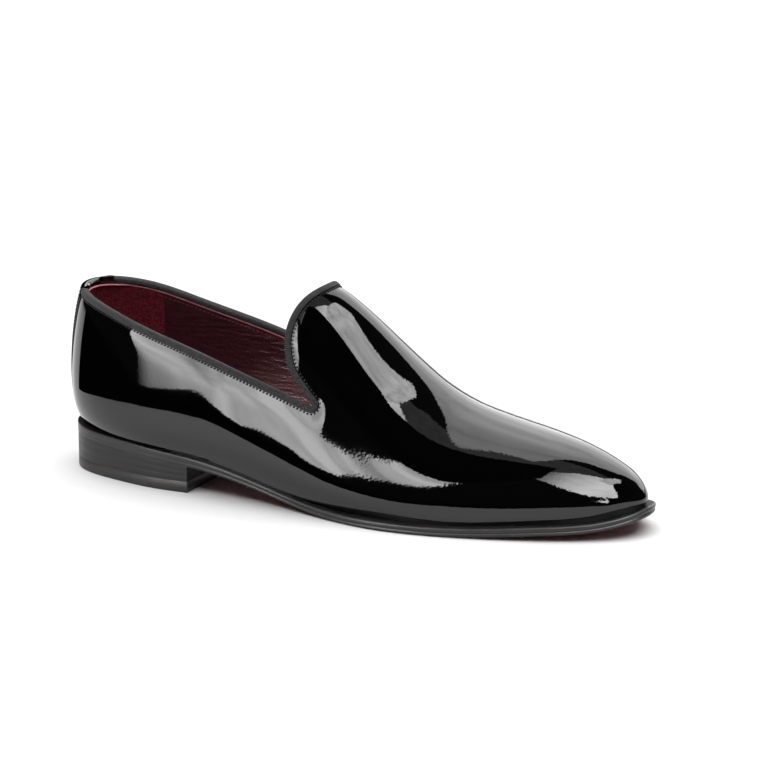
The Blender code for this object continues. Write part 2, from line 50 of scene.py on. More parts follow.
# the sole, in millimetres from the back of the heel; x to the toe, y to the inner side
soleShape = {
    "length": 296.3,
    "steps": 400,  # along the outline where its reach is measured
    "outline": np.array((  # x, centre, half width
        (5, 0.0, 15.6), (12, 0.0, 22.2), (24, 0.0, 27.3), (40, 0.0, 31.0), (60, -0.6, 32.8),
        (80, -2.2, 30.3), (100, -3.8, 28.8), (120, -3.9, 29.8), (140, -2.2, 34.8),
        (160, 1.0, 42.0), (180, 4.4, 47.4), (200, 7.0, 48.1), (220, 8.8, 45.2),
        (240, 10.0, 40.0), (262, 11.0, 32.1), (281, 11.6, 21.8), (291, 11.8, 13.4))),
    "seatColumns": ("x", "top", "thickness", "edgeRound"),
    "seat": np.array((
        (0, 22.3, 5.0, 0.15), (35, 20.8, 4.8, 0.15), (76, 17.4, 4.4, 0.2), (100, 13.6, 4.1, 0.5),
        (125, 8.4, 4.1, 0.9), (145, 5.6, 4.4, 1.0), (165, 4.6, 4.6, 1.0), (185, 4.5, 4.7, 1.0),
        (205, 4.5, 4.6, 1.0), (225, 5.1, 4.5, 1.0), (240, 6.0, 4.5, 1.0), (255, 7.0, 4.5, 1.0),
        (270, 7.9, 4.5, 1.0), (285, 10.2, 4.5, 1.0), (299, 14.6, 4.5, 1.0))),
}

# the last that the upper is pulled over
lastShape = {
    "length": 297.0,
    "columns": (
        "x", "centre", "ridgeShift", "feather", "bulge", "wall", "shoulder", "crown", "top"),
    "sections": np.array((
        (12, 0.0, 0, 19.6, 24.6, 23.1, 19.7, 16.4, 104.0),
        (28, 0.0, 0, 27.2, 33.4, 30.3, 25.7, 21.4, 106.0),
        (60, -0.5, 0, 31.4, 38.6, 34.2, 28.0, 22.2, 112.0),
        (100, -3.4, 3, 28.6, 38.6, 35.7, 30.6, 19.7, 107.0),
        (130, -2.6, 5, 31.2, 41.0, 37.1, 32.5, 16.4, 100.3),
        (160, 1.2, 6, 38.2, 45.8, 41.7, 34.9, 15.5, 78.6),
        (190, 6.0, 5, 43.8, 47.6, 45.9, 36.8, 16.5, 54.5),
        (215, 8.6, 4, 42.8, 44.7, 45.4, 34.5, 16.5, 45.5),
        (240, 10.0, 2, 36.9, 38.8, 38.5, 30.5, 15.5, 41.2),
        (262, 10.9, 0, 29.2, 31.1, 30.3, 24.5, 13.0, 37.3),
        (280, 11.5, 0, 19.8, 21.7, 21.2, 17.4, 9.7, 31.5),
        (290, 11.7, 0, 12.0, 13.9, 13.6, 11.4, 6.2, 27.0))),
    "rows": (  # name, x at the heel, x at the toe, share of the height
        ("feather", 1.5, 293.0, 0.0), ("bulge", -2.2, 294.6, 0.10), ("wall", -2.9, 293.3, 0.38),
        ("shoulder", 1.5, 292.7, 0.76), ("crown", 7.4, 290.6, 0.97), ("ridge", 10.1, 290.3, 1.03)),
    "topAtBack": 102.0,
    "topAtToe": 20.4,
    "bulgeRise": 7.0,
    "bulgeShareMost": 0.3,
    "aboveSole": 0.3,
}

# the cut edge in the side view
cutLines = {
    "collar": np.array((  # x, z
        (-10, 90.0), (2, 88.4), (12, 86.6), (27, 83.4), (50, 77.2), (80, 70.2), (110, 62.0),
        (132, 55.2), (142, 51.8), (152, 48.2), (166, 43.0))),
    "tongue": np.array((  # z, x
        (42.0, 160.6), (50.0, 150.6), (54.8, 144.4), (59.3, 139.9), (64.3, 135.3), (69.3, 131.7),
        (75.3, 129.2), (81.2, 127.9), (87.0, 127.7), (92.0, 128.4), (96.6, 130.2), (99.7, 133.0),
        (101.5, 136.0), (104.0, 141.0))),
    "notchRadius": 1.7,
    "collarPoints": 190,
    "notchPoints": 15,
    "tonguePoints": 90,
    "notchSearch": {"x": (110.0, 158.0), "z": (45.0, 80.0), "steps": 400},
    "collarSearch": {"low": 0.05, "high": 0.45, "notchHigh": 0.4},  # across
    "tongueSearch": (95.0, 172.0),  # x
}

# soft troughs and ridges where the leather has been flexed: ends as (x, across), sizes in mm
vampCreases = (
    {"start": (163, 0.2), "end": (193, 0.44), "width": 6.0, "depth": -0.2},
    {"start": (176, 0.27), "end": (200, 0.46), "width": 9.0, "depth": 0.12},
    {"start": (163, 0.8), "end": (193, 0.56), "width": 6.0, "depth": -0.2},
    {"start": (88, 0.092), "end": (142, 0.08), "width": 4.5, "depth": 0.26},
)
edgeRoll = {"depth": 0.5, "width": 3.6}  # the leather turns in toward its bound edge
girth = 170.0  # mm round the upper from feather to feather, for distances across
flatLength = 290.0  # mm from heel to toe, for distances along
toeTip = {"from": 282.0, "over": 7.0, "margin": 2.0, "rounds": 160, "share": 0.5}  # evened out


def splineThrough(knots, values, at):
    knots = np.asarray(knots, float)
    values = np.asarray(values, float)
    at = np.asarray(at, float)
    count = len(knots)
    step = np.diff(knots)
    slope = np.diff(values) / step
    matrix = np.eye(count)
    right = np.zeros(count)
    for i in range(1, count - 1):
        matrix[i, i - 1:i + 2] = step[i - 1], 2 * (step[i - 1] + step[i]), step[i]
        right[i] = 6 * (slope[i] - slope[i - 1])
    bend = np.linalg.solve(matrix, right)
    i = np.clip(np.searchsorted(knots, at) - 1, 0, count - 2)
    u = at - knots[i]
    first = slope[i] - step[i] * (2 * bend[i] + bend[i + 1]) / 6
    cubic = (bend[i + 1] - bend[i]) / (6 * step[i])
    return values[i] + u * (first + u * (bend[i] / 2 + u * cubic))


def unit(vectors):
    return vectors / np.linalg.norm(vectors, axis=-1, keepdims=True)


def along(length, turn):
    return length * (1 - np.cos(turn)) / 2  # turn is 0 at the heel and pi at the toe


def turnAt(length, x):
    return np.arccos(1 - 2 * np.asarray(x, float) / length)


def seatLine(name, x):
    table, column = soleShape["seat"], soleShape["seatColumns"].index(name)
    return splineThrough(table[:, 0], table[:, column], x)


def soleBottom(x):
    return np.maximum(seatLine("top", x) - seatLine("thickness", x), 0.0)


def soleCentre(x):
    table = soleShape["outline"]
    knots = np.r_[0, table[:, 0], soleShape["length"]]
    return splineThrough(knots, np.r_[table[0, 1], table[:, 1], table[-1, 1]], x)


def soleHalf(turn):
    table = soleShape["outline"]
    knots = np.r_[0, turnAt(soleShape["length"], table[:, 0]), math.pi]
    return splineThrough(knots, np.r_[0, table[:, 2], 0], turn)


def lastColumn(name):
    return lastShape["sections"][:, lastShape["columns"].index(name)]


def lastOverTurn(name, turn, atBack=0.0, atToe=0.0):
    knots = np.r_[0, turnAt(lastShape["length"], lastColumn("x")), math.pi]
    return splineThrough(knots, np.r_[atBack, lastColumn(name), atToe], turn)


def lastLine(name, x):
    values = lastColumn(name)
    knots = np.r_[0, lastColumn("x"), lastShape["length"]]
    return splineThrough(knots, np.r_[values[0], values, values[-1]], x)


def controlRows(turn):
    outer, inner = [], []
    top = lastOverTurn("top", turn, lastShape["topAtBack"], lastShape["topAtToe"])
    for name, back, toe, share in lastShape["rows"]:
        x = back + along(toe - back, turn)
        half = 0 * turn if name == "ridge" else lastOverTurn(name, turn)
        middle = lastLine("centre", x) + share * lastLine("ridgeShift", x)
        seat = seatLine("top", x) + lastShape["aboveSole"]
        rise = share * (top - seat)
        if name == "bulge":
            rise = np.minimum(lastShape["bulgeRise"], lastShape["bulgeShareMost"] * (top - seat))
        outer.append(np.stack([x, middle - half, seat + rise], -1))
        inner.append(np.stack([x, middle + half, seat + rise], -1))
    return np.array(outer + inner[-2::-1])


def splineShares(count, across, degree=3):
    knots = np.r_[np.zeros(degree), np.linspace(0, 1, count - degree + 1), np.ones(degree)]
    across = np.clip(across, 0, 1 - 1e-12)
    shares = [((across >= a) & (across < b)).astype(float) for a, b in zip(knots[:-1], knots[1:])]
    for level in range(1, degree + 1):
        raised = []
        for i in range(len(knots) - level - 1):
            value = np.zeros_like(across)
            if knots[i + level] > knots[i]:
                value = value + (across - knots[i]) / (knots[i + level] - knots[i]) * shares[i]
            if knots[i + level + 1] > knots[i + 1]:
                span = knots[i + level + 1] - knots[i + 1]
                value = value + (knots[i + level + 1] - across) / span * shares[i + 1]
            raised.append(value)
        shares = raised
    return np.array(shares)


def upperPoints(turn, across):
    rows = controlRows(np.asarray(turn, float))
    shares = splineShares(len(rows), np.asarray(across, float))
    return np.einsum("kn,knx->nx", shares, rows)


def upperNormals(turn, across, step=1e-4):
    turn = np.clip(turn, 2 * step, math.pi - 2 * step)
    across = np.clip(across, 2 * step, 1 - 2 * step)
    byTurn = upperPoints(turn + step, across) - upperPoints(turn - step, across)
    byAcross = upperPoints(turn, across + step) - upperPoints(turn, across - step)
    return unit(np.cross(byTurn, byAcross))


def fromSegment(points, start, end, tiny=1e-12):  # share along it and distance from it
    run = end - start
    share = np.clip((points - start) @ run / max(run @ run, tiny), 0, 1)
    return share, np.linalg.norm(points - start - share[:, None] * run, axis=1)


def flatPlaces(turn, across):  # mm along and across the upper laid flat
    return np.stack([along(lastShape["length"], turn), girth * across], -1)


def creaseLift(turn, across):
    place = flatPlaces(turn, across)
    lift = np.zeros(len(place))
    for crease in vampCreases:
        ends = (np.array(crease[name]) * (1, girth) for name in ("start", "end"))
        share, apart = fromSegment(place, *ends)
        lift += crease["depth"] * np.sin(math.pi * share) * np.exp(-(apart / crease["width"]) ** 2)
    nearest = np.full(len(place), np.inf)
    for point in flatPlaces(wholeEdge[:, 0], wholeEdge[:, 1]):
        nearest = np.minimum(nearest, np.hypot(*(place - point).T))
    return lift - edgeRoll["depth"] * np.exp(-(nearest / edgeRoll["width"]) ** 2)


def skinPoints(turn, across, depth=0.0):
    points = upperPoints(turn, across)
    normals = upperNormals(turn, across)
    return points + normals * (creaseLift(turn, across) - depth)[:, None]


def bisect(side, low, high, halvings=44):
    low = np.array(low, float)
    high = np.array(high, float)
    for _ in range(halvings):
        middle = (low + high) / 2
        over = side(middle) > 0
        high = np.where(over, middle, high)
        low = np.where(over, low, middle)
    return (low + high) / 2


def collarHeight(x):
    return splineThrough(cutLines["collar"][:, 0], cutLines["collar"][:, 1], x)


def tonguePlace(z):
    return splineThrough(cutLines["tongue"][:, 0], cutLines["tongue"][:, 1], z)


def leftOf(line):
    ahead = unit(np.gradient(line, axis=0))
    return np.stack([-ahead[:, 1], ahead[:, 0]], -1)


def notchArc():
    radius, search = cutLines["notchRadius"], cutLines["notchSearch"]
    x = np.linspace(*search["x"], search["steps"])
    collar = np.stack([x, collarHeight(x)], -1)
    z = np.linspace(*search["z"], search["steps"])
    tongue = np.stack([tonguePlace(z), z], -1)
    raised = collar + radius * leftOf(collar)
    drawn = tongue + radius * leftOf(tongue)
    apart = np.linalg.norm(raised[:, None] - drawn[None], axis=-1)
    i, j = np.unravel_index(np.argmin(apart), apart.shape)
    centre = (raised[i] + drawn[j]) / 2
    start = math.atan2(*(collar[i] - centre)[::-1])
    end = math.atan2(*(tongue[j] - centre)[::-1])
    if end < start:
        end += 2 * math.pi
    angles = np.linspace(start, end, cutLines["notchPoints"])
    return centre + radius * np.stack([np.cos(angles), np.sin(angles)], -1)


def ontoUpper(places, turn, across, step=1e-4, rounds=10):  # from the side view to the surface
    found = []
    for place in places:
        for _ in range(rounds):
            here = upperPoints([turn, turn + step, turn], [across, across, across + step])
            here = here[:, [0, 2]]
            slopes = np.stack([(here[1] - here[0]) / step, (here[2] - here[0]) / step], -1)
            move = np.linalg.solve(slopes, place - here[0])
            turn += move[0]
            across += move[1]
        found.append((turn, across))
    return np.array(found)


def cutEdge(innerSide):  # (turn, across) along one side, from the heel's back to the tongue's end
    arc, search = notchArc(), cutLines["collarSearch"]

    def mirrored(across):
        return 1 - across if innerSide else across

    def overCollar(turn, across):
        points = upperPoints(turn, mirrored(across))
        return points[:, 2] - collarHeight(points[:, 0])

    guess = float(turnAt(lastShape["length"], arc[0][0]))
    startAcross = bisect(
        lambda a: overCollar(np.array([guess]), a), [search["low"]], [search["notchHigh"]])[0]
    foot = ontoUpper(arc, guess, float(mirrored(startAcross)))
    turns = foot[0, 0] * np.linspace(0, 1, cutLines["collarPoints"])[:-1]
    many = len(turns)
    collarAcross = bisect(
        lambda a: overCollar(turns, a), np.full(many, search["low"]), np.full(many, search["high"]))
    tongueAcross = np.linspace(mirrored(foot[-1, 1]), 0.5, cutLines["tonguePoints"])[1:]

    def pastTongue(turn):
        points = upperPoints(turn, mirrored(tongueAcross))
        return points[:, 0] - tonguePlace(points[:, 2])

    limits = [np.full(len(tongueAcross), turnAt(lastShape["length"], x))
              for x in cutLines["tongueSearch"]]
    collar = np.stack([turns, mirrored(collarAcross)], -1)
    tongue = np.stack([bisect(pastTongue, *limits), mirrored(tongueAcross)], -1)
    return np.concatenate([collar, foot, tongue])


outerEdge = cutEdge(False)
innerEdge = cutEdge(True)
wholeEdge = np.concatenate([outerEdge, innerEdge[-2::-1]])

# where the back of the heel stands in the frame
soleLow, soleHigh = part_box("outsole")
outlineTurns = np.linspace(0, math.pi, soleShape["steps"])
outlineX = along(soleShape["length"], outlineTurns)
outerReach = (soleCentre(outlineX) - soleHalf(outlineTurns)).min()
innerReach = (soleCentre(outlineX) + soleHalf(outlineTurns)).max()
heelBack = np.array([
    soleLow.x / millimetre,
    (soleLow.y + soleHigh.y) / 2 / millimetre - (outerReach + innerReach) / 2,
    0.0])


def inFrame(points):
    return (np.asarray(points, float) + heelBack) * millimetre


print("loafer: last and cut edge worked out,", len(wholeEdge), "edge points")

# camera at the photograph's angle
photoView = {
    "azimuth": 28.0,  # degrees from straight at the outer side toward the toe
    "elevation": 16.0,
    "distance": 1.7,
    "lens": 167.08,
    "sensor": 36.0,
    "clipStart": 0.05,
    "target": (150.0, 2.0, 40.0),  # mm from the back of the heel
    "aside": (0.01456, 0.01127),  # right and up from the target to the middle of the picture
}


def direction(azimuth, elevation):
    a, e = math.radians(azimuth), math.radians(elevation)
    return Vector((math.sin(a) * math.cos(e), -math.cos(a) * math.cos(e), math.sin(e)))


def newItem(name, data):
    item = bpy.data.objects.new(name, data)
    bpy.context.scene.collection.objects.link(item)
    return item


def lookFrom(item, place, target):
    item.location = place
    item.rotation_euler = (target - place).to_track_quat("-Z", "Y").to_euler()


def makeCamera():
    azimuth = math.radians(photoView["azimuth"])
    back = direction(photoView["azimuth"], photoView["elevation"])
    right = Vector((math.cos(azimuth), math.sin(azimuth), 0))
    target = Vector(inFrame(photoView["target"]))
    middle = target + right * photoView["aside"][0] + back.cross(right) * photoView["aside"][1]
    data = bpy.data.cameras.new("photoCamera")
    data.lens = photoView["lens"]
    data.sensor_width = photoView["sensor"]
    data.clip_start = photoView["clipStart"]
    camera = newItem("photoCamera", data)
    lookFrom(camera, target + back * photoView["distance"], middle)
    bpy.context.scene.camera = camera


makeCamera()
print("loafer: camera set")


# shared shader effects
socketKinds = {1: "NodeSocketFloat", 3: "NodeSocketVector", 4: "NodeSocketColor"}  # by size


def newGroup(name, inputs, output, outputSize=1):
    tree = bpy.data.node_groups.new(name, "ShaderNodeTree")
    for socketName, value in inputs.items():
        kind = socketKinds[np.size(value)]
        socket = tree.interface.new_socket(socketName, in_out="INPUT", socket_type=kind)
        socket.default_value = value
    tree.interface.new_socket(output, in_out="OUTPUT", socket_type=socketKinds[outputSize])
    given = tree.nodes.new("NodeGroupInput").outputs
    return tree, given, tree.nodes.new("NodeGroupOutput").inputs[output]


def addNode(tree, kind, links=(), **settings):
    node = tree.nodes.new("ShaderNode" + kind)
    for key, value in settings.items():
        setattr(node, key, value)
    for socket, source in links:
        if hasattr(source, "is_output"):
            tree.links.new(source, node.inputs[socket])
        else:
            node.inputs[socket].default_value = source
    return node


def objectPlace(tree):
    return addNode(tree, "TexCoord").outputs["Object"]


def lengthways(tree, place):
    return addNode(tree, "SeparateXYZ", (("Vector", place),)).outputs["X"]


def math2(tree, operation, first, second):
    node = addNode(tree, "Math", ((0, first), (1, second)), operation=operation)
    return node.outputs[0]


def mapRange(tree, value, fromLow, fromHigh, low=0.0, high=1.0, **settings):
    node = addNode(tree, "MapRange", (
        ("Value", value), ("From Min", fromLow), ("From Max", fromHigh), ("To Min", low),
        ("To Max", high)), **settings)
    return node.outputs["Result"]


def mixColours(tree, share, first, second):
    node = addNode(tree, "Mix", (
        ("Factor", share), ("A", first), ("B", second)), data_type="RGBA")
    return node.outputs["Result"]


noiseSpan = (0.3, 0.7)  # where most of a noise texture's values lie


def spreadNoise(tree, place, scale, detail, low=0.0, high=1.0, roughness=0.5):
    noise = addNode(tree, "TexNoise", (
        ("Vector", place), ("Scale", scale), ("Detail", detail), ("Roughness", roughness)))
    return mapRange(tree, noise.outputs["Fac"], *noiseSpan, low, high)


def makeGrain():  # pebbled leather grain with a slow ripple under it
    tree, given, height = newGroup("leatherGrain", {
        "Cells": 900.0, "Ripples": 60.0, "Ripple share": 1.0, "Stretch": (1, 1, 1)}, "Height")
    place = objectPlace(tree)
    cells = addNode(tree, "TexVoronoi", (
        ("Vector", place), ("Scale", given["Cells"])), feature="SMOOTH_F1")
    fine = addNode(tree, "TexNoise", (
        ("Vector", place), ("Scale", given["Cells"]), ("Detail", 3.0)))
    drawn = addNode(tree, "VectorMath", (
        (0, place), (1, given["Stretch"])), operation="MULTIPLY").outputs[0]
    slow = addNode(tree, "TexNoise", (
        ("Vector", drawn), ("Scale", given["Ripples"]), ("Detail", 1.0)))
    ripple = math2(tree, "MULTIPLY", slow.outputs["Fac"], given["Ripple share"])
    grain = math2(tree, "ADD", cells.outputs["Distance"], fine.outputs["Fac"])
    tree.links.new(math2(tree, "ADD", grain, ripple), height)
    return tree


def makeToneDrift():  # slow change between two tones, with a fine fleck
    tree, given, colour = newGroup("toneDrift", {
        "Tone": (0.1, 0.1, 0.1, 1), "Deep tone": (0.05, 0.05, 0.05, 1), "Scale": 40.0},
        "Colour", outputSize=4)
    share = spreadNoise(tree, objectPlace(tree), given["Scale"], detail=8.0, roughness=0.65)
    tree.links.new(mixColours(tree, share, given["Tone"], given["Deep tone"]), colour)
    return tree


def makeGlossDrift():  # roughness that drifts between two values
    tree, given, roughness = newGroup(
        "glossDrift", {"Low": 0.1, "High": 0.2, "Scale": 30.0}, "Roughness")
    drift = spreadNoise(
        tree, objectPlace(tree), given["Scale"], detail=4.0, low=given["Low"], high=given["High"])
    tree.links.new(drift, roughness)
    return tree


def makeThreadRibs():  # fine ribs across a run whose length is kept in the mesh
    tree, given, height = newGroup("threadRibs", {"Pitch": 0.0008}, "Height")
    run = addNode(tree, "Attribute", attribute_name="run").outputs["Fac"]
    turns = math2(tree, "DIVIDE", run, given["Pitch"])
    wave = math2(tree, "SINE", math2(tree, "MULTIPLY", turns, 2 * math.pi), 0.0)
    tree.links.new(wave, height)
    return tree


grainGroup = makeGrain()
toneGroup = makeToneDrift()
glossGroup = makeGlossDrift()
ribGroup = makeThreadRibs()


def placeGroup(tree, group, **values):
    node = addNode(tree, "Group", node_tree=group)
    for name, value in values.items():
        node.inputs[name.replace("_", " ")].default_value = value
    return node


def newMaterial(name):
    material = bpy.data.materials.new(name)
    material.use_nodes = True
    tree = material.node_tree
    return material, tree, tree.nodes["Principled BSDF"]


def makeFinish(name, look):
    material, tree, shader = newMaterial(name)
    tone = placeGroup(
        tree, toneGroup, Tone=(*look["tone"], 1), Deep_tone=(*look["deepTone"], 1),
        Scale=look["toneScale"])
    colour = tone.outputs["Colour"]
    if "paintedSheen" in look:  # painted sheen: a paler second tone that comes in along a direction of the shoe, standing in for light caught by the glossy lining
        paintedSheen = look["paintedSheen"]
        sheenReach = addNode(tree, "VectorMath", (
            (0, objectPlace(tree)), (1, paintedSheen["along"])), operation="DOT_PRODUCT")
        share = mapRange(
            tree, sheenReach.outputs["Value"], paintedSheen["from"], paintedSheen["to"], interpolation_type="SMOOTHSTEP")
        colour = mixColours(tree, share, colour, (*paintedSheen["tone"], 1))
    tree.links.new(colour, shader.inputs["Base Color"])
    gloss = placeGroup(
        tree, glossGroup, Low=look["rough"][0], High=look["rough"][1], Scale=look["toneScale"])
    tree.links.new(gloss.outputs["Roughness"], shader.inputs["Roughness"])
    grain = placeGroup(
        tree, grainGroup, Cells=look["cells"], Ripples=look["ripples"],
        Ripple_share=look["rippleShare"], Stretch=look["stretch"])
    height = grain.outputs["Height"]
    if "ribPitch" in look:
        ribs = placeGroup(tree, ribGroup, Pitch=look["ribPitch"])
        grainPart = math2(tree, "MULTIPLY", height, look["ribGrain"])
        height = math2(tree, "ADD", grainPart, ribs.outputs["Height"])
    if "grainRise" in look:  # grain that grows along the shoe: from x, to x, low share, high share
        rise = mapRange(tree, lengthways(tree, objectPlace(tree)), *look["grainRise"])
        height = math2(tree, "MULTIPLY", height, rise)
    bump = addNode(tree, "Bump", (
        ("Height", height), ("Strength", look["bump"]), ("Distance", look["bumpDepth"])))
    tree.links.new(bump.outputs["Normal"], shader.inputs["Normal"])
    for socket, value in look["sockets"].items():
        shader.inputs[socket].default_value = value
    return material


plainFinish = {  # where a finish says nothing else
    "rippleShare": 1.0, "bumpDepth": 0.0002, "stretch": (1, 1, 1), "sockets": {}}
finishes = {
    "patentLeather": {
        "tone": (0.0009, 0.0009, 0.001), "deepTone": (0.0006, 0.0006, 0.0007), "toneScale": 25.0,
        "rough": (0.015, 0.035), "cells": 800.0, "ripples": 60.0, "rippleShare": 4.0,
        "bump": 0.1, "bumpDepth": 0.00007, "grainRise": (-0.01, 0.06, 0.25, 1.5),
        "sockets": {"IOR": 1.52}},
    "grosgrainRibbon": {
        "tone": (0.029, 0.028, 0.029), "deepTone": (0.016, 0.016, 0.017), "toneScale": 700.0,
        "rough": (0.72, 0.9), "cells": 2400.0, "ripples": 200.0, "rippleShare": 0.4,
        "bump": 0.7, "ribPitch": 0.0009, "ribGrain": 0.5,
        "sockets": {"Sheen Weight": 0.08, "Sheen Roughness": 0.4}},
    "liningLeather": {
        "tone": (0.058, 0.0145, 0.019), "deepTone": (0.026, 0.006, 0.0085), "toneScale": 40.0,
        "rough": (0.3, 0.42), "cells": 1300.0, "ripples": 260.0, "rippleShare": 3.0,
        "stretch": (0.35, 1.0, 2.2), "bump": 0.9, "bumpDepth": 0.0004,
        "grainRise": (-0.08, -0.02, 0.45, 1.35),
        # painted sheen: paler pink toward the toe and lower down, where light catches the lining
        # near the throat
        "paintedSheen": {"along": (0.5, 0.0, -1.0), "from": -0.088, "to": -0.052,
                 "tone": (0.24, 0.125, 0.13)},
        "sockets": {"Specular IOR Level": 0.7}},
    "heelGripSuede": {
        "tone": (0.3, 0.04, 0.064), "deepTone": (0.012, 0.001, 0.002), "toneScale": 1000.0,
        "rough": (0.85, 0.98), "cells": 2600.0, "ripples": 700.0, "rippleShare": 1.5,
        "bump": 0.8, "bumpDepth": 0.0004,
        "sockets": {"Sheen Weight": 0.3, "Sheen Roughness": 0.5, "Sheen Tint": (0.5, 0.08, 0.12, 1),
                    "Specular IOR Level": 0.1}},
    "liningRawEdge": {
        "tone": (0.88, 0.38, 0.42), "deepTone": (0.62, 0.2, 0.23), "toneScale": 400.0,
        "rough": (0.75, 0.9), "cells": 3000.0, "ripples": 600.0,
        "bump": 0.6, "bumpDepth": 0.0003},
    "blackThread": {
        "tone": (0.012, 0.012, 0.013), "deepTone": (0.006, 0.006, 0.007), "toneScale": 900.0,
        "rough": (0.12, 0.22), "cells": 4000.0, "ripples": 900.0,
        "bump": 0.3, "bumpDepth": 0.0001},
    "redThread": {
        "tone": (0.5, 0.13, 0.14), "deepTone": (0.3, 0.06, 0.07), "toneScale": 900.0,
        "rough": (0.4, 0.6), "cells": 4000.0, "ripples": 900.0,
        "bump": 0.4, "bumpDepth": 0.0001},
    "sockLeather": {
        "tone": (0.12, 0.024, 0.034), "deepTone": (0.075, 0.014, 0.02), "toneScale": 45.0,
        "rough": (0.38, 0.52), "cells": 1300.0, "ripples": 120.0, "rippleShare": 1.5,
        "bump": 0.35, "bumpDepth": 0.0003},
    "soleEdgeInk": {
        "tone": (0.006, 0.006, 0.007), "deepTone": (0.011, 0.009, 0.009), "toneScale": 90.0,
        "rough": (0.3, 0.42), "cells": 1800.0, "ripples": 90.0,
        "bump": 0.2},
    "soleUnderside": {
        "tone": (0.15, 0.024, 0.03), "deepTone": (0.095, 0.014, 0.019), "toneScale": 35.0,
        "rough": (0.24, 0.4), "cells": 1400.0, "ripples": 70.0,
        "bump": 0.2},
    "heelInk": {
        "tone": (0.008, 0.008, 0.009), "deepTone": (0.014, 0.011, 0.011), "toneScale": 120.0,
        "rough": (0.32, 0.46), "cells": 1700.0, "ripples": 140.0, "rippleShare": 1.2,
        "bump": 0.15, "sockets": {"Specular IOR Level": 0.38}},
    "topPieceRubber": {
        "tone": (0.009, 0.009, 0.009), "deepTone": (0.017, 0.013, 0.012), "toneScale": 150.0,
        "rough": (0.34, 0.48), "cells": 1500.0, "ripples": 160.0,
        "bump": 0.3},
    "studioFloor": {
        "tone": (0.8, 0.8, 0.8), "deepTone": (0.785, 0.785, 0.788), "toneScale": 6.0,
        "rough": (0.55, 0.65), "cells": 700.0, "ripples": 10.0, "rippleShare": 0.5,
        "bump": 0.05, "sockets": {"Specular IOR Level": 0.2}},
}
materials = {name: makeFinish(name, {**plainFinish, **look}) for name, look in finishes.items()}
print("loafer:", len(materials), "finishes made")


# mesh helpers
def makePiece(name, slot, points, faces, finish, runs=None, sharpAngle=50.0):
    mesh = bpy.data.meshes.new(name)
    mesh.from_pydata(inFrame(points).tolist(), [], [tuple(int(i) for i in face) for face in faces])
    work = bmesh.new()
    work.from_mesh(mesh)
    bmesh.ops.recalc_face_normals(work, faces=work.faces)
    work.to_mesh(mesh)
    work.free()
    mesh.shade_smooth()
    mesh.set_sharp_from_angle(angle=math.radians(sharpAngle))
    if runs is not None:
        layer = mesh.attributes.new("run", "FLOAT", "POINT")
        layer.data.foreach_set("value", np.asarray(runs, float) * millimetre)
    for material in finish if isinstance(finish, tuple) else (finish,):
        mesh.materials.append(materials[material])
    piece = newItem(name, mesh)
    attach(piece, "root")
    return piece


def bands(count, size):  # quads between rings of equal count
    faces = []
    for low in range(0, (count - 1) * size, size):
        for j in range(size):
            k = (j + 1) % size
            faces.append((low + j, low + k, low + size + k, low + size + j))
    return faces


def loft(sections):  # joins sections of equal count and closes both ends
    count, size = len(sections), len(sections[0])
    faces = bands(count, size)
    faces.append(tuple(range(size))[::-1])
    faces.append(tuple(range((count - 1) * size, count * size)))
    return np.concatenate(sections), faces


def stackRings(rings):  # closed solid from rings of one outline, with ladder caps
    size = len(rings[0])
    faces = bands(len(rings), size)
    for low in (0, (len(rings) - 1) * size):
        for j in range(size // 2):
            rung = (low + j, low + j + 1, low + (size - j - 1) % size, low + (size - j) % size)
            rung = tuple(dict.fromkeys(rung))
            if len(rung) > 2:
                faces.append(rung)
    return np.concatenate(rings), faces


def outlineLoop(turns, length, centreOf, halfOf, inset):
    x = along(length, turns)
    outer = np.stack([x, centreOf(x) - halfOf(turns)], -1)
    inner = np.stack([x, centreOf(x) + halfOf(turns)], -1)
    loop = np.concatenate([outer, inner[-2:0:-1]])
    ahead = unit(np.roll(loop, -1, axis=0) - np.roll(loop, 1, axis=0))
    inward = np.stack([-ahead[:, 1], ahead[:, 0]], -1)
    return loop + inward * np.broadcast_to(inset, len(loop))[:, None]


def inLoop(points, loop):
    inside = np.zeros(len(points), bool)
    for (ax, ay), (bx, by) in zip(loop, np.roll(loop, -1, axis=0)):
        if ay == by:
            continue
        crosses = (points[:, 1] < ay) != (points[:, 1] < by)
        inside ^= crosses & (points[:, 0] < ax + (points[:, 1] - ay) / (by - ay) * (bx - ax))
    return inside


def fromLoop(points, loop):
    nearest = np.full(len(points), np.inf)
    for start, end in zip(loop, np.roll(loop, -1, axis=0)):
        nearest = np.minimum(nearest, fromSegment(points, start, end)[1])
    return nearest


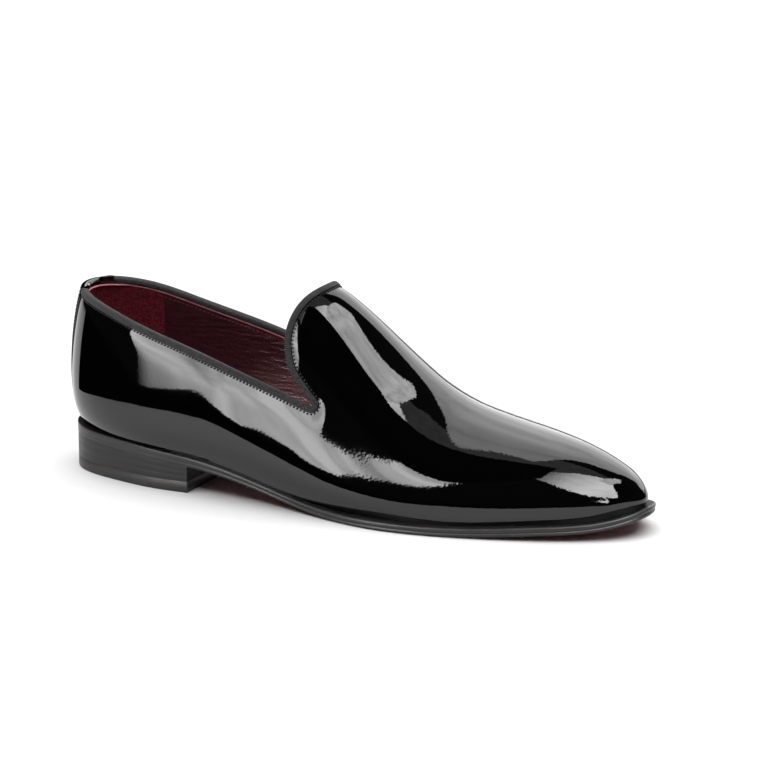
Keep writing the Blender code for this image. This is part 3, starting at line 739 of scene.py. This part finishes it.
def trimmedSheet(form, closeBy=1e-6, digits=5):  # the upper cut to its edge
    scale = np.array([flatLength / math.pi, girth])
    turns = np.linspace(0, math.pi, form["stations"] + 1)
    side = np.linspace(0, 0.5, form["rowsPerSide"] + 1)
    rows = np.r_[side, 1 - side[-2::-1]]
    back = side[side < outerEdge[0, 1] - 0.5 * side[1]]
    loop = np.concatenate([
        np.stack([turns, 0 * turns], -1),
        np.stack([np.full(len(rows), math.pi), rows], -1)[1:-1],
        np.stack([turns[::-1], 0 * turns + 1], -1),
        np.stack([0 * back, 1 - back], -1)[1:],
        innerEdge, outerEdge[-2::-1],
        np.stack([0 * back, back], -1)[::-1][:-1]])
    grid = np.array([(turn, row) for turn in turns[1:-1] for row in rows[1:-1]])
    flatLoop, flatGrid = loop * scale, grid * scale
    keep = inLoop(flatGrid, flatLoop)
    flatGrid = flatGrid[keep]
    flatGrid = flatGrid[fromLoop(flatGrid, flatLoop) > form["clearance"]]
    flat = [Vector(point) for point in np.concatenate([flatLoop, flatGrid])]
    found = delaunay_2d_cdt(flat, [], [list(range(len(loop)))], 1, closeBy)
    domain = np.array([tuple(place) for place in found[0]]) / scale
    faces = np.array([tuple(face) for face in found[2]])
    atEnd = (domain[:, 0] < closeBy) | (domain[:, 0] > math.pi - closeBy)
    first, same = {}, np.arange(len(domain))
    for i in np.flatnonzero(atEnd):  # both sides meet at the heel's back and at the toe
        key = (round(domain[i, 0]), round(min(domain[i, 1], 1 - domain[i, 1]), digits))
        same[i] = first.setdefault(key, i)
    faces = same[faces]
    whole = (faces != np.roll(faces, 1, axis=1)).all(axis=1)
    return domain, faces[whole]


def sheetEdges(faces):
    return np.concatenate([faces[:, [0, 1]], faces[:, [1, 2]], faces[:, [2, 0]]])


def easedTip(points, faces, rim):  # evens out the toe's tip, where the rows run together
    links = np.unique(np.sort(sheetEdges(faces), axis=1), axis=0)
    count = np.bincount(links.ravel(), minlength=len(points))[:, None]
    links = links[points[links, 0].max(axis=1) > toeTip["from"] - toeTip["margin"]]
    ease = np.clip((points[:, :1] - toeTip["from"]) / toeTip["over"], 0, 1)
    ease[rim] = 0
    points = points.copy()
    for _ in range(toeTip["rounds"]):
        total = np.zeros_like(points)
        np.add.at(total, links[:, 0], points[links[:, 1]])
        np.add.at(total, links[:, 1], points[links[:, 0]])
        points += toeTip["share"] * ease * np.where(ease > 0, total / count - points, 0)
    return points


def shell(form):  # closed wall between two depths under the upper's surface
    domain, faces = trimmedSheet(form)
    used = np.unique(faces)
    place = np.full(len(domain), -1)
    place[used] = np.arange(len(used))
    faces = place[faces]
    edges = sheetEdges(faces)
    key = np.sort(edges, axis=1)
    _, index, count = np.unique(key, axis=0, return_index=True, return_counts=True)
    rim = edges[index[count == 1]]
    turn, across, many = domain[used, 0], domain[used, 1], len(used)
    skins = [easedTip(skinPoints(turn, across, depth), faces, np.unique(rim))
             for depth in (form["outer"], form["inner"])]
    walls = [tuple(face) for face in faces] + [tuple(face[::-1]) for face in faces + many]
    walls += [(b, a, a + many, b + many) for a, b in rim]
    return np.concatenate(skins), walls


# the upper: patent leather outside, lining inside
upperLeather = {"stations": 240, "rowsPerSide": 72, "clearance": 0.55, "outer": 0.0, "inner": 0.95}
upperLining = {"stations": 130, "rowsPerSide": 40, "clearance": 0.9, "outer": 1.0, "inner": 1.8}

patentUpper = makePiece("patentUpper", "patent_leather", *shell(upperLeather), "patentLeather")
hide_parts("upper")
makePiece("quarterLining", "sock_leather", *shell(upperLining), "liningLeather")
print("loafer: upper and lining,", len(patentUpper.data.polygons), "faces")


# suede grip round the inside of the heel
heelGrip = {
    "reach": 30.0, "foot": 0.03, "belowEdge": 2.9, "outer": 1.85, "inner": 2.4,
    "stations": 84, "rows": 60, "bevel": 0.24, "bevelSteep": 25}


def edgeAcross(turn):
    return np.interp(turn, outerEdge[:, 0], outerEdge[:, 1])


def gripShape():
    places = np.linspace(-1, 1, heelGrip["stations"] + 1)
    farTurn = float(turnAt(lastShape["length"], heelGrip["reach"]))
    levels = np.linspace(0, 1, heelGrip["rows"] + 1)
    sections = []
    for place in places:
        turn = abs(place) * farTurn
        top = edgeAcross(turn) - heelGrip["belowEdge"] / girth
        across = heelGrip["foot"] + levels * (top - heelGrip["foot"])
        across = across if place <= 0 else 1 - across
        turns = np.full(len(across), turn)
        edge = heelGrip["bevelSteep"] * np.minimum(np.minimum(levels, 1 - levels), 1 - abs(place))
        rounding = heelGrip["bevel"] * (1 - np.clip(edge, 0, 1)) ** 2
        front = skinPoints(turns, across, heelGrip["inner"])
        front = front + upperNormals(turns, across) * rounding[:, None]
        behind = skinPoints(turns, across, heelGrip["outer"])
        sections.append(np.concatenate([front, behind[::-1]]))
    return loft(sections)


makePiece("heelGrip", "sock_leather", *gripShape(), "heelGripSuede")


# frames along the cut edge
def edgeFrames(edge):
    points = upperPoints(edge[:, 0], edge[:, 1])
    outward = upperNormals(edge[:, 0], edge[:, 1])
    ahead = unit(np.gradient(points, axis=0))
    outward = unit(outward - np.sum(outward * ahead, -1, keepdims=True) * ahead)
    return points, outward, np.cross(outward, ahead)


def runLengths(points):
    return np.r_[0, np.cumsum(np.linalg.norm(np.diff(points, axis=0), axis=1))]


edgePlaces = upperPoints(wholeEdge[:, 0], wholeEdge[:, 1])
backZone = 40.0  # mm along the shoe that count as the heel's back


def trimmedPath(width):  # the whole edge apart from what lies within a width of the heel's middle
    return wholeEdge[(edgePlaces[:, 0] > backZone) | (np.abs(edgePlaces[:, 1]) > width)]


# grosgrain ribbon folded round the cut edge: section as outward from the face, off the edge
ribbonBinding = {
    "section": (
        (0.05, -1.95), (0.32, -2.06), (0.62, -1.95), (0.84, -1.55), (0.95, -0.9), (0.98, -0.2),
        (0.92, 0.4), (0.72, 0.85), (0.3, 1.1), (-0.9, 1.18), (-2.1, 1.1), (-2.52, 0.85),
        (-2.74, 0.4), (-2.8, -0.2), (-2.74, -0.9), (-2.6, -1.5), (-2.25, -1.75), (-1.86, -1.7),
        (-1.86, 0.04), (0.05, 0.04)),
    "fromMiddle": 13.5,
}


def bindingShape():
    path = trimmedPath(ribbonBinding["fromMiddle"])
    points, outward, off = edgeFrames(path)
    runs = runLengths(points)
    sections = []
    for point, look, up in zip(points, outward, off):
        sections.append(np.array([point + look * a + up * c for a, c in ribbonBinding["section"]]))
    shape, faces = loft(sections)
    return shape, faces, np.repeat(runs, len(ribbonBinding["section"]))


bindingPoints, bindingFaces, bindingRuns = bindingShape()
ribbon = makePiece(
    "ribbonBinding", "grosgrain", bindingPoints, bindingFaces, "grosgrainRibbon", bindingRuns)
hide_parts("collar_binding")


# stitches: short plump threads laid along a path
stitchForm = {"rings": 7, "sides": 6, "taper": 0.94, "sunk": 0.75}


def circle(sides):
    angles = np.linspace(0, 2 * math.pi, sides, endpoint=False)[:, None]
    return np.cos(angles), np.sin(angles)


def stitchRow(points, outward, stitch):
    runs = runLengths(points)
    count = int(runs[-1] // stitch["pitch"])
    middles = (np.arange(count) + 0.5) * runs[-1] / count
    rings = np.linspace(-1, 1, stitchForm["rings"])
    plump = np.sqrt(np.clip(1 - rings ** 2 * stitchForm["taper"], 0, 1))
    wide, high = circle(stitchForm["sides"])
    shapes, faces = [], []
    for middle in middles:
        at = middle + rings * stitch["length"] / 2
        line = np.stack([np.interp(at, runs, points[:, k]) for k in range(3)], -1)
        look = unit(np.array([np.interp(middle, runs, outward[:, k]) for k in range(3)]))
        ahead = unit(line[-1] - line[0])
        look = unit(look - look @ ahead * ahead)
        side = np.cross(look, ahead)
        sink = stitch["height"] * (plump - stitchForm["sunk"])  # the ends dive into the leather
        sections = [
            line[i] + look * sink[i] + plump[i] * (
                wide * side * stitch["width"] / 2 + high * look * stitch["height"])
            for i in range(len(rings))]
        start = sum(len(shape) for shape in shapes)
        shape, wall = loft(sections)
        shapes.append(shape)
        faces += [tuple(i + start for i in face) for face in wall]
    return np.concatenate(shapes), faces


edgeStitch = {
    "pitch": 1.85, "length": 1.1, "width": 0.95, "height": 0.45, "below": 2.7, "sunk": 0.15,
    "fromMiddle": 14.0}
liningStitch = {
    "pitch": 2.3, "length": 1.6, "width": 0.4, "height": 0.22, "below": 4.4, "proud": 0.2,
    "pastGrip": 1.0}
rawEdge = {
    "below": 2.15, "depth": 2.2, "radius": 0.4, "overStrip": 0.95, "stripReach": 15.0,
    "stripRun": 5.0}


def edgeRow(path, below, depth):
    points, outward, off = edgeFrames(path)
    return points - off * below - outward * depth, outward


def tube(points, outward, radius, sides=8):
    ahead = unit(np.gradient(points, axis=0))
    across = np.cross(ahead, outward)
    wide, high = circle(sides)
    return loft([
        p + radius * (wide * n + high * c) for p, n, c in zip(points, outward, across)])


stitchLine = edgeRow(
    trimmedPath(edgeStitch["fromMiddle"]), edgeStitch["below"], edgeStitch["sunk"])
makePiece("edgeStitches", "patent_leather", *stitchRow(*stitchLine, edgeStitch), "blackThread")
liningLine, liningLook = edgeRow(
    wholeEdge, liningStitch["below"], upperLining["inner"] + liningStitch["proud"])
pastGrip = edgePlaces[:, 0] > heelGrip["reach"] + liningStitch["pastGrip"]
makePiece(
    "liningStitches", "sock_leather",
    *stitchRow(liningLine[pastGrip], -liningLook[pastGrip], liningStitch), "redThread")
atStrip = np.clip((rawEdge["stripReach"] - edgePlaces[:, :1]) / rawEdge["stripRun"], 0, 1)
rawDepth = rawEdge["depth"] + rawEdge["overStrip"] * atStrip  # passes in front of the folded strip
makePiece(
    "liningEdge", "sock_leather",
    *tube(*edgeRow(wholeEdge, rawEdge["below"], rawDepth), rawEdge["radius"]), "liningRawEdge")
print("loafer: binding and stitches")


# patent strip that covers the back seam and folds over the edge
backStrip = {
    "halfTop": 13.0, "halfFoot": 9.5, "clear": 0.12, "leaf": 0.95, "innerDrop": 2.6,
    "footRow": 0.012, "stations": 48, "rows": 60, "edgeShare": 0.06, "edgeLeaf": 0.45, "wall": 1.8,
    "mostTurn": 0.7, "bendSteps": 13}
stripStitch = {
    "pitch": 2.0, "length": 1.5, "width": 0.42, "height": 0.22, "fromEdge": 1.5, "foot": 0.008,
    "head": 0.004, "points": 80}


def stripWidths(acrosses):
    top = outerEdge[0, 1]
    share = (acrosses - backStrip["footRow"]) / (top - backStrip["footRow"])
    half = backStrip["halfFoot"] + share * (backStrip["halfTop"] - backStrip["halfFoot"])
    return half, bisect(
        lambda turn: -upperPoints(turn, acrosses)[:, 1] - half,
        np.zeros(len(acrosses)), np.full(len(acrosses), backStrip["mostTurn"]))


def stripShape():
    acrosses = np.linspace(backStrip["footRow"], outerEdge[0, 1], backStrip["rows"])
    _, widest = stripWidths(acrosses)
    places = np.linspace(-1, 1, backStrip["stations"] + 1)
    headTurns = np.abs(places) * widest[-1]
    headRows = np.where(places > 0, 1 - edgeAcross(headTurns), edgeAcross(headTurns))
    heads, looks, downs = edgeFrames(np.stack([headTurns, headRows], -1))
    near, wall, thin = backStrip["clear"], backStrip["wall"], backStrip["edgeLeaf"]
    bend = np.linspace(0, math.pi, backStrip["bendSteps"])
    sections = []
    for place, row, head, look, down in zip(places, headRows, heads, looks, downs):
        turns = np.abs(place) * widest
        rows = acrosses if place <= 0 else 1 - acrosses
        rows = np.r_[rows[:-1], row]
        points, outward = upperPoints(turns, rows), upperNormals(turns, rows)
        if abs(place) < 1e-9:  # the middle section stays in its own plane
            outward = unit(outward * np.array([1.0, 0.0, 1.0]))
        fromEdge = np.clip((1 - abs(place)) / backStrip["edgeShare"], 0, 1)
        far = near + backStrip["leaf"] * (
            thin + (1 - thin) * math.sqrt(1 - (1 - fromEdge) ** 2))
        hang = unit(points[-1] - points[-2])
        under = list(points + outward * near)
        under.append(head + look * near - down * near)
        under.append(head - look * (wall + near) - down * near)
        under.append(head - look * (wall + near) - hang * backStrip["innerDrop"])
        over = list(points[:-1] + outward[:-1] * far)
        for angle in bend:  # rolls over the edge
            over.append(head + look * (math.cos(angle) * (wall / 2 + far) - wall / 2)
                        - down * math.sin(angle) * far)
        over.append(head - look * (wall + far) - hang * backStrip["innerDrop"])
        sections.append(np.array(under + over[::-1]))
    return loft(sections)


strip = makePiece("backStrip", "patent_leather", *stripShape(), "patentLeather", sharpAngle=60.0)
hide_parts("back_strip")


def stripSeam(innerSide):
    acrosses = np.linspace(
        backStrip["footRow"] + stripStitch["foot"], outerEdge[0, 1] - stripStitch["head"],
        stripStitch["points"])
    half, widest = stripWidths(acrosses)
    turns = widest * (1 - stripStitch["fromEdge"] / half)
    rows = 1 - acrosses if innerSide else acrosses
    normals = upperNormals(turns, rows)
    return upperPoints(turns, rows) + normals * (backStrip["clear"] + backStrip["leaf"]), normals


for sideName, innerSide in (("Outer", False), ("Inner", True)):
    makePiece(
        "stripStitches" + sideName, "patent_leather",
        *stitchRow(*stripSeam(innerSide), stripStitch), "blackThread")
print("loafer: back strip")


# outsole: inked edge with a round bead over a thin groove, burgundy underside
outsole = {
    "stations": 150, "flat": 4.0,
    "edge": (  # share of the thickness from the top, inset in mm where the edge is fully round
        (0.0, 1.3), (0.02, 0.85), (0.07, 0.45), (0.14, 0.18), (0.23, 0.03), (0.33, 0.0),
        (0.43, 0.06), (0.5, 0.2), (0.55, 0.42), (0.59, 0.56), (0.63, 0.46), (0.67, 0.3),
        (0.73, 0.22), (0.81, 0.24), (0.89, 0.4), (0.95, 0.65), (0.985, 0.95), (1.0, 1.3))}


def soleRings():
    turns = np.linspace(0, math.pi, outsole["stations"] + 1)

    def loop(inset):
        return outlineLoop(turns, soleShape["length"], soleCentre, soleHalf, inset)

    def ring(inset, depth):
        flat = loop(inset)
        seat = seatLine("top", flat[:, 0])
        return np.column_stack([flat, seat + depth * (soleBottom(flat[:, 0]) - seat)])

    roundness = seatLine("edgeRound", loop(0.0)[:, 0])
    first, last = outsole["edge"][0], outsole["edge"][-1]
    rings = [ring(inset * roundness, share) for share, inset in outsole["edge"]]
    top, bottom = (
        ring(inset * roundness + outsole["flat"], share) for share, inset in (first, last))
    return [top, *rings, bottom]


soleRingList = soleRings()
solePiece = makePiece(
    "leatherOutsole", "sole_leather", *stackRings(soleRingList), ("soleEdgeInk", "soleUnderside"))
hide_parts("outsole")
ringSize = len(soleRingList[0])
underFrom = (len(soleRingList) - 2) * ringSize  # the last two rings and the lower cap
for face in solePiece.data.polygons:
    face.material_index = int(min(face.vertices) >= underFrom)


# heel: leather lifts with fine grooves between them, on a rubber top piece
heelStack = {
    "length": 76.0, "trim": 0.2, "stations": 60, "lifts": (0.0, 0.34, 0.67, 1.0),
    "groove": 0.02, "lip": 0.12, "gap": 0.05, "topPiece": 5.5,
    "topPieceFoot": ((3.0, 0.0), (0.5, 0.0), (0.15, 0.12), (0.0, 0.45)),  # inset, up from the floor
    "topPieceHead": ((0.0, 0.25), (0.18, 0.0))}  # inset, down from the top


def heelLoop(inset):
    last = float(turnAt(soleShape["length"], heelStack["length"]))
    turns = np.linspace(0, last, heelStack["stations"] + 1)
    longer = np.r_[turns, last + turns[1]]
    plain = outlineLoop(
        longer, soleShape["length"], soleCentre, soleHalf, heelStack["trim"] + inset)
    loop = np.concatenate(
        [plain[:heelStack["stations"] + 1], plain[-heelStack["stations"]:]])
    loop[:, 0] = np.minimum(loop[:, 0], heelStack["length"] - inset)
    return loop


def heelRings(levels):  # inset and height of each ring
    rings = []
    for inset, level in levels:
        loop = heelLoop(inset)
        rings.append(np.column_stack([loop, np.broadcast_to(level, len(loop))]))
    return stackRings(rings)


def heelShape():
    low = heelStack["topPiece"] + heelStack["gap"]
    high = soleBottom(heelLoop(0.0)[:, 0]) - heelStack["gap"]
    groove, lip = heelStack["groove"], heelStack["lip"]
    levels = []
    for foot, head in zip(heelStack["lifts"][:-1], heelStack["lifts"][1:]):
        base, top = low + foot * (high - low), low + head * (high - low)
        levels += [(groove, base), (0.0, base + lip), (0.0, top - lip), (groove, top)]
    return heelRings(levels)


def topPieceShape():
    high = heelStack["topPiece"]
    head = [(inset, high - drop) for inset, drop in heelStack["topPieceHead"]]
    return heelRings([*heelStack["topPieceFoot"], *head])


heelPiece = makePiece("leatherHeel", "heel_leather", *heelShape(), "heelInk", sharpAngle=40.0)
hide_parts("heel")
topPiece = makePiece(
    "rubberTopPiece", "top_piece_rubber", *topPieceShape(), "topPieceRubber", sharpAngle=40.0)
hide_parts("top_piece")


# insole with its leather sock
sockInsole = {
    "thickness": 2.5, "inset": 2.2, "toeTrim": 5.0, "toeStart": 235.0, "stations": 120,
    "edge": ((5.0, 0.0), (1.2, 0.0), (0.45, 0.2), (0.08, 0.7), (0.0, 1.2), (0.0, 2.5))}


def insoleShape():
    name, back, toe, _ = lastShape["rows"][0]
    turns = np.linspace(0, math.pi, sockInsole["stations"] + 1)

    def outline(inset):
        return outlineLoop(
            turns, toe - back, lambda x: lastLine("centre", x + back),
            lambda turn: lastOverTurn(name, turn), inset)

    start = sockInsole["toeStart"]
    towardToe = (outline(0.0)[:, 0] - start) / (toe - back - start)
    trim = sockInsole["inset"] + sockInsole["toeTrim"] * np.clip(towardToe, 0, 1)
    rings = []
    for inset, drop in sockInsole["edge"]:
        flat = outline(trim + inset) + np.array([back, 0.0])
        top = seatLine("top", flat[:, 0]) + lastShape["aboveSole"] + sockInsole["thickness"]
        rings.append(np.column_stack([flat, top - drop]))
    return stackRings(rings)


insolePiece = makePiece("sockInsole", "sock_leather", *insoleShape(), "sockLeather")
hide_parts("insole")
print("loafer: sole, heel and insole")

# floor, soft overhead light, and what the gloss mirrors: bright panels and dark cards
studio = {
    "floorReach": 6.0,
    "world": 0.02,
    "from": (150.0, 0.0, 45.0), "distance": 3000.0,  # where panels are seen from, unless they say
    "cloud": {"scale": 6.0, "detail": 3.0},  # unevenness of the panels
    "overhead": {
        "place": (130.0, 60.0, 2200.0), "aim": (150.0, 60.0, 0.0), "size": 4.2, "radiance": 3.1},
    "panels": {  # corners as azimuth and elevation, seen from a place on the shoe
        "sidePanel": {
            "radiance": 7.5, "fade": 0.13, "uneven": (0.5, 1.3),
            "corners": (
                (-41, -0.8), (-28, -0.8), (-20, 5), (-9, 22), (-4.5, 28), (0.5, 39), (2.5, 48),
                (2.5, 58), (-3, 68), (-41, 68))},
        "frontPanel": {
            "radiance": 11.5, "fade": 0.6, "uneven": (0.88, 1.1),
            "from": (270.0, -20.0, 25.0), "corners": (
                (-8, 68), (10, 73), (48, 76), (117, 67), (109, 60), (79, 43), (70, 23), (57, 26),
                (39, 32), (28, 41), (13, 55))},
        "tonguePanel": {
            "radiance": 6.6, "uneven": (0.72, 1.2),
            "corners": (
                (82, 54), (120, 50), (141, 49), (140, 57), (111, 65), (85, 63))},
        "backPanel": {
            "radiance": 2.4, "uneven": (0.8, 1.2),
            "corners": (
                (-130, 84), (-140, 60), (-158, 4), (150, 4), (165, 52), (178, 66))},
        "dimCeiling": {
            "radiance": 0.42, "uneven": (0.8, 1.15),
            "distance": 4600.0, "corners": (
                (-60, 76), (-6, 70), (25, 60), (60, 60), (110, 64), (130, 60), (150, 66), (180, 72),
                (-120, 76))},
    },
    "tongueCard": {"from": (150.0, -22.0, 72.0), "distance": 110.0, "corners": (
        (-8, 30), (30, 24), (66, 22), (94, 34), (94, 62), (100, 84), (-20, 88), (-4, 56))},
    "floorCard": {"reach": 7000.0, "lift": 1.0, "edge": (  # x, y of the lit floor's near edge
        (330, -110), (100, -145), (40, -190), (-40, -250), (-110, -270), (-155, -260),
        (-150, -130), (-135, -40), (-135, 0))},
}


def makeStaged(name, points, material):
    mesh = bpy.data.meshes.new(name)
    mesh.from_pydata([tuple(point) for point in points], [], [tuple(range(len(points)))])
    mesh.materials.append(material)
    item = newItem(name, mesh)
    return item


def mirroredOnly(item):  # seen by the gloss alone
    item.visible_camera = item.visible_diffuse = item.visible_shadow = False
    item.visible_transmission = item.visible_volume_scatter = False


def seenCorners(panel):
    looks = [direction(*corner) for corner in panel["corners"]]
    facing = sum(looks, Vector()).normalized()
    place = Vector(inFrame(panel.get("from", studio["from"])))
    distance = panel.get("distance", studio["distance"]) * millimetre
    return [place + look * (distance / look.dot(facing)) for look in looks]


def makeFloor():
    reach = studio["floorReach"]
    corners = ((-reach, -reach, 0), (reach, -reach, 0), (reach, reach, 0), (-reach, reach, 0))
    makeStaged("studioFloor", corners, materials["studioFloor"])


def makeCards():
    black, _, shader = newMaterial("darkCard")
    shader.inputs["Base Color"].default_value = (0, 0, 0, 1)
    shader.inputs["Specular IOR Level"].default_value = 0.0
    card = studio["floorCard"]
    far, edge = card["reach"], card["edge"]
    outline = [(-far, edge[-1][1]), (-far, -far), (far, -far), (far, edge[0][1]), *edge]
    mirroredOnly(makeStaged(
        "floorCard", inFrame([(x, y, card["lift"]) for x, y in outline]), black))
    mirroredOnly(makeStaged("tongueCard", seenCorners(studio["tongueCard"]), black))


def makePanel(name, panel):
    glow, tree, shader = newMaterial(name)
    glow.cycles.emission_sampling = "NONE"
    tree.nodes.remove(shader)
    place = addNode(tree, "TexCoord").outputs["Generated"]
    low, high = panel["uneven"]
    strength = spreadNoise(
        tree, place, studio["cloud"]["scale"], studio["cloud"]["detail"],
        low * panel["radiance"], high * panel["radiance"])
    if "fade" in panel:  # soft first edge
        share = mapRange(
            tree, lengthways(tree, place), 0.0, panel["fade"], interpolation_type="SMOOTHSTEP")
        strength = math2(tree, "MULTIPLY", strength, share)
    lamp = addNode(tree, "Emission", (("Strength", strength),))
    tree.links.new(lamp.outputs[0], tree.nodes["Material Output"].inputs["Surface"])
    mirroredOnly(makeStaged(name, seenCorners(panel), glow))


def makeLights():
    overhead = studio["overhead"]
    data = bpy.data.lights.new("overheadLight", "AREA")
    data.size = overhead["size"]
    data.energy = overhead["radiance"] * math.pi * overhead["size"] ** 2
    lamp = newItem("overheadLight", data)
    lookFrom(lamp, Vector(inFrame(overhead["place"])), Vector(inFrame(overhead["aim"])))
    lamp.visible_camera = lamp.visible_glossy = False
    for name, panel in studio["panels"].items():
        makePanel(name, panel)
    world = bpy.data.worlds.new("studioRoom")
    world.use_nodes = True
    sky = world.node_tree.nodes["Background"]
    sky.inputs["Color"].default_value = (1, 1, 1, 1)
    sky.inputs["Strength"].default_value = studio["world"]
    bpy.context.scene.world = world
    bpy.context.scene.view_settings.view_transform = "Standard"


makeFloor()
makeCards()
makeLights()
print("loafer: floor and lights")
